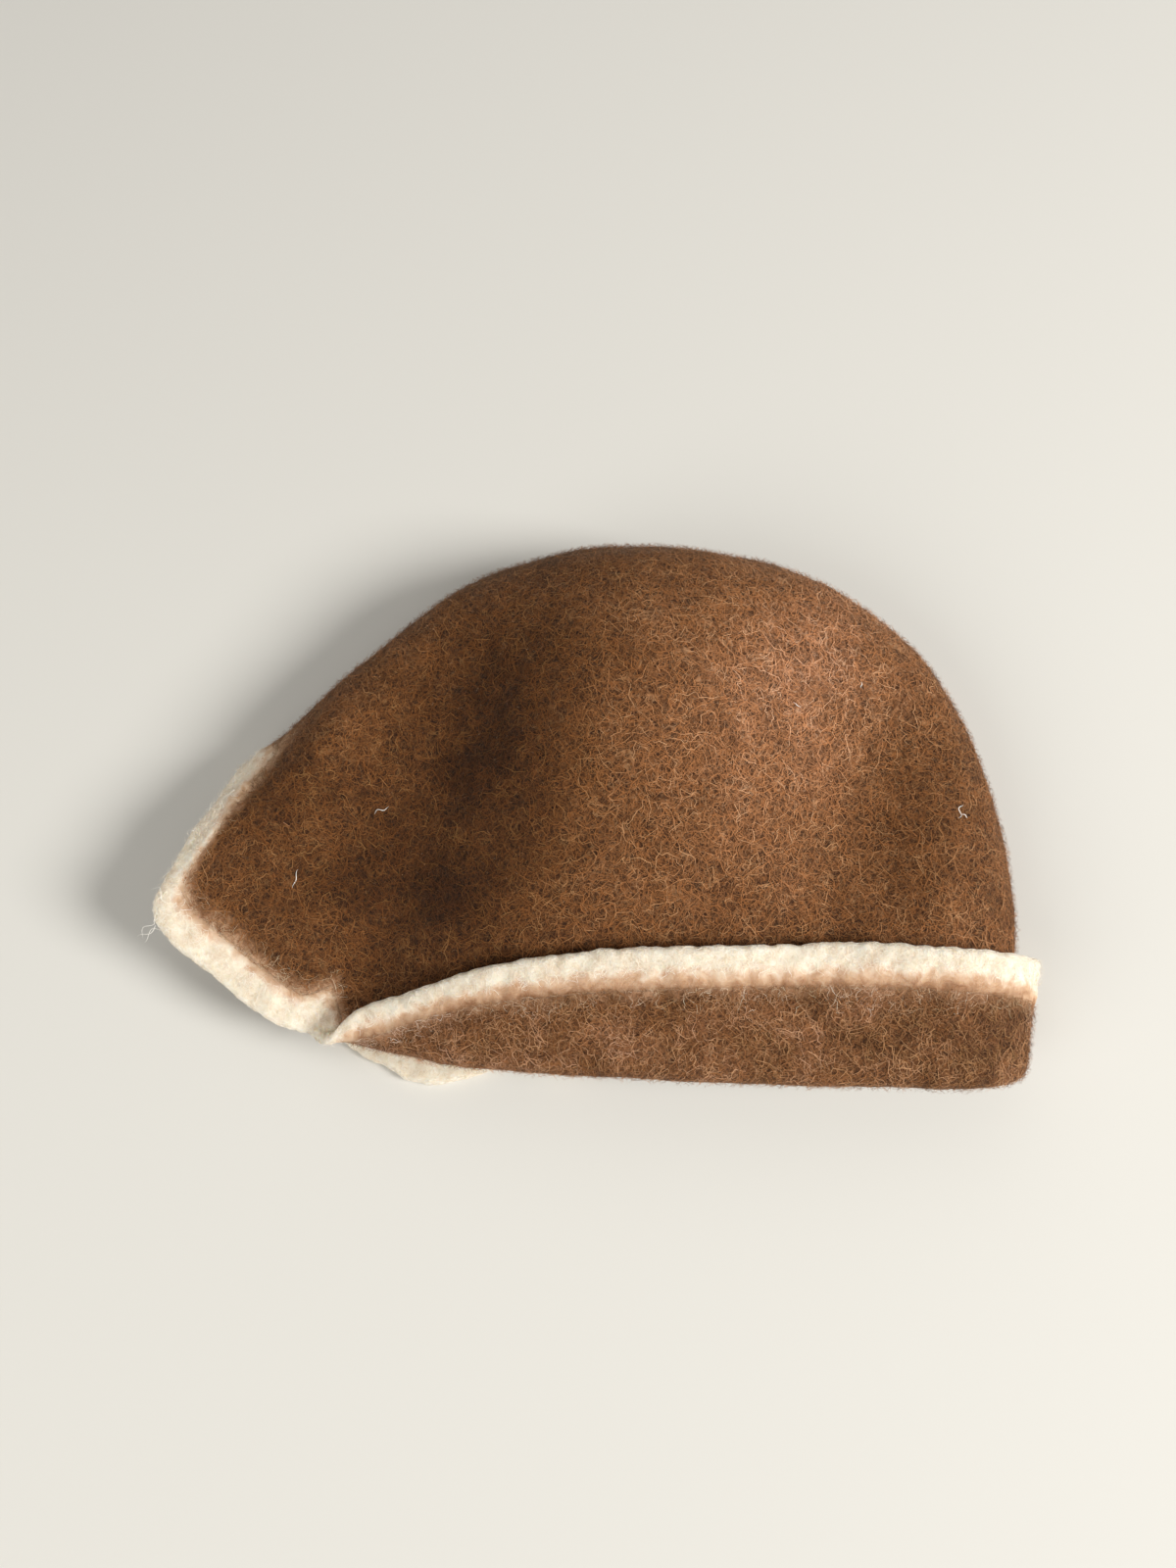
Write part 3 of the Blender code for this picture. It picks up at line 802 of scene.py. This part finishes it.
class Grower(Board):
    # Geometry Nodes that grow curled hairs out of a surface
    inputs = {
        "NodeSocketFloat": "Density Length Width Curl Bends Lift Stand",
        "NodeSocketInt": "Points Seed",
        "NodeSocketMaterial": "Material",
    }

    def __init__(self, name, mask):
        self.tree = bpy.data.node_groups.new(name, "GeometryNodeTree")
        add = self.tree.interface.new_socket
        add("Surface", in_out="INPUT", socket_type="NodeSocketGeometry")
        for kind, names in self.inputs.items():
            for key in names.split():
                add(key, in_out="INPUT", socket_type=kind)
        add("Hairs", in_out="OUTPUT", socket_type="NodeSocketGeometry")
        entry = self.tree.nodes.new("NodeGroupInput")
        self.given = {socket.name: Wire(self, socket) for socket in entry.outputs if socket.name}
        roots = self.scatter(mask)
        curves = self.lay(roots)
        mesh = self.thicken(curves)
        mesh = self.node("GeometryNodeRealizeInstances", sockets={0: mesh})
        mesh = self.node("GeometryNodeSetMaterial", sockets={0: mesh, 2: self.given["Material"]})
        end = self.tree.nodes.new("NodeGroupOutput")
        self.tree.links.new(mesh.socket, end.inputs[0])

    def random(self, low, high, extra):
        sockets = {2: low, 3: high, 8: self.given["Seed"] + extra}
        return self.node("FunctionNodeRandomValue", sockets=sockets, out=1)

    def named(self, name, kind="FLOAT"):
        return self.node("GeometryNodeInputNamedAttribute", {"data_type": kind}, {"Name": name})

    def scatter(self, mask):
        density = self.given["Density"] * self.named(mask)
        sockets = {"Mesh": self.given["Surface"], "Density": density, "Seed": self.given["Seed"]}
        spread = self.node("GeometryNodeDistributePointsOnFaces", sockets=sockets)
        turn = Wire(self, spread.socket.node.outputs[2])
        spans = {"strand": hairShape["strands"], "shade": 1.0}
        for extra, (key, high) in enumerate(spans.items(), start=1):
            sockets = {0: spread, 2: key, 3: self.random(0.0, high, extra)}
            settings = {"data_type": "FLOAT", "domain": "POINT"}
            spread = self.node("GeometryNodeStoreNamedAttribute", settings, sockets)
        half = self.given["Length"] * 0.5
        start = self.node("ShaderNodeCombineXYZ", sockets={0: half * -1.0})
        end = self.node("ShaderNodeCombineXYZ", sockets={0: half})
        line = self.node("GeometryNodeCurvePrimitiveLine", sockets={0: start, 1: end})
        sockets = {0: line, 2: self.given["Points"]}
        line = self.node("GeometryNodeResampleCurve", {"mode": "COUNT"}, sockets)
        spin = self.node("ShaderNodeCombineXYZ", sockets={2: self.random(0.0, 2 * math.pi, 3)})
        spin = self.node("FunctionNodeEulerToRotation", sockets={0: spin})
        turn = self.node("FunctionNodeRotateRotation", {"rotation_space": "LOCAL"}, {0: turn, 1: spin})
        size = self.random(*hairShape["sizes"], 4)
        size = self.node("ShaderNodeCombineXYZ", sockets={0: size, 1: size, 2: size})
        sockets = {0: spread, 2: line, 5: turn, 6: size}
        return self.node("GeometryNodeInstanceOnPoints", sockets=sockets)

    def lay(self, roots):
        # bends each hair by a noise of its own, then brings it back to the surface
        curves = self.node("GeometryNodeRealizeInstances", sockets={0: roots})
        self.along = self.node("GeometryNodeSplineParameter")
        self.strand = self.named("strand")
        self.twist = self.strand.math("SINE")
        spot = self.node("ShaderNodeCombineXYZ", sockets={
            0: self.along * self.given["Bends"], 1: self.strand, 2: self.strand * hairShape["drift"]})
        sockets = {"Vector": spot, "Scale": 1.0, "Detail": 1.0}
        bend = self.node("ShaderNodeTexNoise", sockets=sockets, out=1)
        bend = bend.vector("SUBTRACT", (0.5, 0.5, 0.5))
        bend = bend.scaled(self.given["Curl"] * hairShape["curlGain"])
        curves = self.node("GeometryNodeSetPosition", sockets={0: curves, 3: bend})
        place = self.node("GeometryNodeInputPosition")
        settings = {"data_type": "FLOAT_VECTOR"}
        surface = self.given["Surface"]
        sockets = {0: surface, 1: place, 3: place}
        ground = self.node("GeometryNodeSampleNearestSurface", settings, sockets)
        sockets = {0: surface, 1: self.named("facing", "FLOAT_VECTOR"), 3: place}
        self.facing = self.node("GeometryNodeSampleNearestSurface", settings, sockets)
        sockets = {"Vector": spot, "Scale": hairShape["waveScale"], "Detail": 0.0}
        wave = self.node("ShaderNodeTexNoise", sockets=sockets) * hairShape["waveGain"]
        wave = (wave - hairShape["sunk"]).atLeast(hairShape["leastLift"])
        rise = self.along * self.along * self.given["Stand"]
        height = (wave * (1.0 - self.given["Stand"]) + rise) * self.given["Lift"]
        # nowhere below the floor, and free in the other two directions
        lowest = (-9.0, -9.0, hairShape["overFloor"])
        spot = ground.vector("ADD", self.facing.scaled(height)).vector("MAXIMUM", lowest)
        return self.node("GeometryNodeSetPosition", sockets={0: curves, 2: spot})

    def thicken(self, curves):
        # flat ribbons that face off the surface, or any way where they stand
        tip = (self.along * 2.0 - 1.0).size()
        width = (1.0 - tip * tip * hairShape["taper"]) * self.given["Width"]
        wander = self.given["Stand"] * hairShape["wander"]
        otherTwist = (self.strand * hairShape["secondTurn"]).math("SINE")
        anyWay = self.node("ShaderNodeCombineXYZ", sockets={
            0: self.twist * wander, 1: otherTwist * wander})
        faced = self.facing.vector("ADD", anyWay)
        curves = self.node("GeometryNodeSetCurveNormal", {"mode": "FREE"}, {0: curves, "Normal": faced})
        profile = self.node("GeometryNodeCurvePrimitiveLine", sockets={
            0: (0.0, -0.5, 0.0), 1: (0.0, 0.5, 0.0)})
        return self.node("GeometryNodeCurveToMesh", sockets={0: curves, 1: profile, 2: width})


def hairMaterial(name, settings):
    shade = Shade(name, settings["roughness"], settings["sheen"], hairShape["sheenTint"])
    streak = (shade.cloud(*hairShape["streaks"]) - 0.5) * hairShape["streakDepth"]
    place = shade.attribute("shade") + streak
    ramped = shade.node("ShaderNodeValToRGB", {"stops": settings["stops"]}, {0: place})
    # the hairs carry the same painted shade and light as the felt they grow from
    return shade.close(shade.withToneAndShading(ramped))


def growHairs(name, surface, settings):
    grower = Grower(name + "Nodes", settings["mask"])
    skin = intoScene(name + "Skin", surface.data)
    growth = skin.modifiers.new("hairs", "NODES")
    growth.node_group = grower.tree
    values = {key: settings[key.lower()] for key in ("Bends", "Stand", "Points", "Seed")}
    values |= {key: settings[key.lower()] * mm for key in ("Length", "Width", "Curl", "Lift")}
    values["Density"] = settings["density"] * 1e4  # on a square metre
    values["Material"] = hairMaterial(name, settings)
    for item in grower.tree.interface.items_tree:
        if item.in_out == "INPUT" and item.name in values:
            growth[item.identifier] = values[item.name]
    depsgraph = bpy.context.evaluated_depsgraph_get()
    mesh = bpy.data.meshes.new_from_object(skin.evaluated_get(depsgraph), depsgraph=depsgraph)
    mesh.name = name
    mesh.shade_smooth()
    bpy.data.objects.remove(skin)
    hairs = intoScene(name, mesh)
    mesh.calc_loop_triangles()
    print(name, len(mesh.loop_triangles), "triangles")
    return hairs


def colourStops(**stops):
    # from the names of colours and where each of them stands
    return [(place, colours[name]) for name, place in stops.items()]


tanStops = colourStops(brown=0.0, tan=0.35, orange=0.7, pale=1.0)
pinkStops = colourStops(brown=0.0, tan=0.45, pink=0.75, pale=1.0)
blendStops = colourStops(pinkBrown=0.0, pink=0.4, blush=0.8, creamShade=1.0)
creamStops = colourStops(creamShade=0.0, cream=0.3, white=1.0)

# Density is hairs on a square centimetre where their mask is 1.
lying = {"stand": 0.0, "roughness": 0.7, "sheen": 0.2}
standing = {"stand": 1.0, "points": 6, "roughness": 0.6, "sheen": 0.3}
hairKinds = {
    "longHairs": {
        **lying, "mask": "crownHair", "density": 10.0, "length": 11.0, "width": 0.24, "curl": 2.8,
        "bends": 3.6, "lift": 0.9, "points": 10, "seed": 1, "stops": tanStops},
    "shortHairs": {
        **lying, "mask": "crownHair", "density": 17.0, "length": 6.0, "width": 0.2, "curl": 2.0,
        "bends": 2.6, "lift": 0.5, "points": 7, "seed": 2, "stops": tanStops},
    "cuffHairs": {
        **lying, "mask": "cuffHair", "density": 25.0, "length": 8.0, "width": 0.24, "curl": 2.8,
        "bends": 3.6, "lift": 0.9, "points": 9, "seed": 3, "stops": pinkStops},
    "blendHairs": {
        **lying, "mask": "blendHair", "density": 70.0, "length": 5.0, "width": 0.14, "curl": 1.8,
        "bends": 2.4, "lift": 0.6, "points": 6, "seed": 4, "stops": blendStops, "roughness": 0.75},
    "fuzz": {
        **standing, "mask": "anyHair", "density": 9.0, "length": 5.0, "width": 0.12, "curl": 1.6,
        "bends": 2.0, "lift": 2.2, "seed": 5, "stops": tanStops},
    "rimFuzz": {
        **standing, "mask": "rimHair", "density": 55.0, "length": 4.0, "width": 0.12, "curl": 1.5,
        "bends": 2.0, "lift": 1.7, "seed": 8, "stops": tanStops},
}
edgingHairKinds = {
    "creamHairs": {
        **lying, "mask": "creamHair", "density": 50.0, "length": 4.5, "width": 0.16, "curl": 1.7,
        "bends": 2.2, "lift": 0.5, "points": 7, "seed": 6, "stops": creamStops, "roughness": 0.8},
    "creamFuzz": {
        **standing, "mask": "creamHair", "density": 45.0, "length": 3.8, "width": 0.1, "curl": 1.4,
        "bends": 1.8, "lift": 1.9, "seed": 7, "stops": creamStops, "roughness": 0.7},
}

print("growing the hairs")
hairPieces, edgingHairPieces = [
    [growHairs(name, surface, settings) for name, settings in kinds.items()]
    for surface, kinds in ((feltPiece, hairKinds), (edgingPiece, edgingHairKinds))
]


# Single pale hairs caught in the felt, and a wisp of them at the peak's point
strayColumns = "x y turn length curl phase"
strayRows = [
    (-109.6, -45.7, 78.0, 7.0, 0.5, 0.4),
    (-78.3, -19.9, 20.0, 6.0, 0.8, 1.9),
    (76.7, 15.5, 145.0, 3.5, 0.2, 3.3),
    (102.4, 25.7, 80.0, 2.5, 0.2, 1.2),
    (137.1, -21.8, 65.0, 6.5, 1.3, 4.1),
    (138.6, -24.0, 150.0, 3.0, 0.3, 1.0),
    (-163.0, -63.5, 35.0, 14.0, 1.6, 0.0),
    (-163.5, -62.0, 48.0, 12.0, 2.0, 1.5),
    (-162.0, -64.5, 22.0, 12.0, 1.8, 3.0),
    (-159.0, -52.0, -40.0, 12.0, 2.0, 2.0),
]
strayHair = {
    "points": 24, "width": 0.24, "taper": (0.06, 0.88), "lift": 0.9, "rise": (0.35, 0.65),
    "waves": 1.3, "waveGrowth": (0.4, 0.6),
    "droop": 0.3,  # past the edge it hangs down by this at each point
    "roughness": 0.5, "sheen": 0.2, "sheenTint": (1.0, 0.95, 0.85),
}
skyHeight = 0.2  # m, above all of the hat


def groundUnder(x, y, pieces):
    # highest place of the hat over a spot, with its normal
    down = Vector((0.0, 0.0, -1.0))
    start = Vector((x * mm, y * mm, skyHeight))
    hits = [piece.ray_cast(start, down) for piece in pieces]
    return max([hit[1:3] for hit in hits if hit[0]], key=lambda hit: hit[0].z, default=None)


def makeStrayHairs(name, pieces, rows, settings):
    count = settings["points"]
    share = np.linspace(0.0, 1.0, count)
    low, span = settings["taper"]
    width = 0.5 * settings["width"] * np.sin(np.pi * (low + span * share))
    low, span = settings["rise"]
    rise = settings["lift"] * (low + span * np.sin(np.pi * share))
    low, span = settings["waveGrowth"]
    growth = low + span * share
    vertices, faces = [], []
    for x, y, turn, length, curl, phase in zip(*rows.values()):
        cos, sin = math.cos(math.radians(turn)), math.sin(math.radians(turn))
        wave = curl * np.sin(2 * settings["waves"] * np.pi * share + phase) * growth
        run = (0.5 - share) * length
        spots = np.stack([x + run * cos - wave * sin, y + run * sin + wave * cos], axis=1)
        spots -= felt["sheetCentre"]
        ahead = unit(np.gradient(spots, axis=0))
        first = len(vertices)
        middle = None
        for i in range(count):
            hit = groundUnder(*spots[i], pieces)
            if hit:
                middle = hit[0] + hit[1] * rise[i] * mm
            else:
                middle = Vector((*(spots[i] * mm), middle.z - settings["droop"] * mm))
            side = Vector((-ahead[i, 1], ahead[i, 0], 0.0)) * width[i] * mm
            vertices += [middle - side, middle + side]
        for k in range(first, len(vertices) - 2, 2):
            faces.append((k, k + 1, k + 3, k + 2))
    mesh = bpy.data.meshes.new(name)
    mesh.from_pydata([tuple(v) for v in vertices], [], faces)
    mesh.shade_smooth()
    hairs = intoScene(name, mesh)
    shade = Shade(name, settings["roughness"], settings["sheen"], settings["sheenTint"])
    setInputs(shade.shader, {"Base Color": (*colours["white"], 1.0)})
    mesh.materials.append(shade.material)
    return hairs


bpy.context.view_layer.update()
strays = table(strayColumns, strayRows)
hairPieces.append(makeStrayHairs("strayHairs", (feltPiece, edgingPiece), strays, strayHair))


floorSettings = {"size": 6.0, "drop": 0.0002, "colour": (0.70, 0.69, 0.65), "roughness": 0.85}
room = {"strength": 0.2, "colour": (1.0, 0.97, 0.92)}
lamps = {
    "window": {
        "place": (1.89, -0.51, 1.38), "aim": (0.0, 0.0, 0.02), "energy": 68.0, "size": 0.96,
        "colour": (1.0, 0.98, 0.95)},
    "fill": {
        "place": (-0.2, 0.7, 1.1), "aim": (0.0, 0.0, 0.0), "energy": 1.5, "size": 1.2,
        "colour": (1.0, 0.98, 0.95)},
    "side": {
        "place": (-0.8, -0.7, 0.9), "aim": (0.0, 0.0, 0.0), "energy": 7.5, "size": 1.0,
        "colour": (1.0, 0.98, 0.94)},
}


def makeFloor(settings):
    half = settings["size"] / 2
    corners = [(-half, -half, 0.0), (half, -half, 0.0), (half, half, 0.0), (-half, half, 0.0)]
    mesh = bpy.data.meshes.new("floor")
    mesh.from_pydata(corners, [], [(0, 1, 2, 3)])
    ground = intoScene("floor", mesh)
    ground.location.z = -settings["drop"]
    material = bpy.data.materials.new("floorPaint")
    material.use_nodes = True
    shader = material.node_tree.nodes["Principled BSDF"]
    setInputs(shader, {
        "Base Color": (*settings["colour"], 1.0), "Roughness": settings["roughness"]})
    mesh.materials.append(material)


def makeLamp(name, settings):
    data = bpy.data.lights.new(name, "AREA")
    data.energy = settings["energy"]
    data.color = settings["colour"]
    data.shape = "DISK"
    data.size = settings["size"]
    lamp = intoScene(name, data)
    lamp.location = settings["place"]
    towards = Vector(settings["aim"]) - Vector(settings["place"])
    lamp.rotation_euler = towards.to_track_quat("-Z", "Y").to_euler()


def makeWorld(settings):
    world = bpy.data.worlds.new("softRoom")
    world.use_nodes = True
    background = world.node_tree.nodes["Background"]
    setInputs(background, {
        "Color": (*settings["colour"], 1.0), "Strength": settings["strength"]})
    scene.world = world


camera = {
    "place": (-2.4, -109.7, 467.1),
    "aim": (-2.4, 15.5, 0.0),
    "focalPixels": 1202.0,  # of a frame 1600 pixels high
    "frameHeight": 1600.0,
    "sensor": 36.0,
    "clipStart": 0.01,
}


def makeCamera(settings):
    data = bpy.data.cameras.new("camera")
    data.sensor_fit = "VERTICAL"
    data.sensor_height = settings["sensor"]
    data.lens = settings["focalPixels"] / settings["frameHeight"] * settings["sensor"]
    data.clip_start = settings["clipStart"]
    seat = intoScene("camera", data)
    place = Vector(settings["place"]) * mm
    aim = Vector(settings["aim"]) * mm
    seat.location = place
    seat.rotation_euler = (aim - place).to_track_quat("-Z", "Y").to_euler()
    scene.camera = seat


print("setting the light and the camera")
scene.view_settings.view_transform = "Standard"
makeFloor(floorSettings)
for name, settings in lamps.items():
    makeLamp(name, settings)
makeWorld(room)
makeCamera(camera)

pieces = {
    feltPiece: (("crown", "brim"), "brown_felt"),
    edgingPiece: (("edging",), "cream_edging"),
}
for piece, (nodes, slotName) in pieces.items():
    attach(piece, "root")
    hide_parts(*nodes)
for piece in hairPieces:
    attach(piece, "root")
for piece in edgingHairPieces:
    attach(piece, "root")
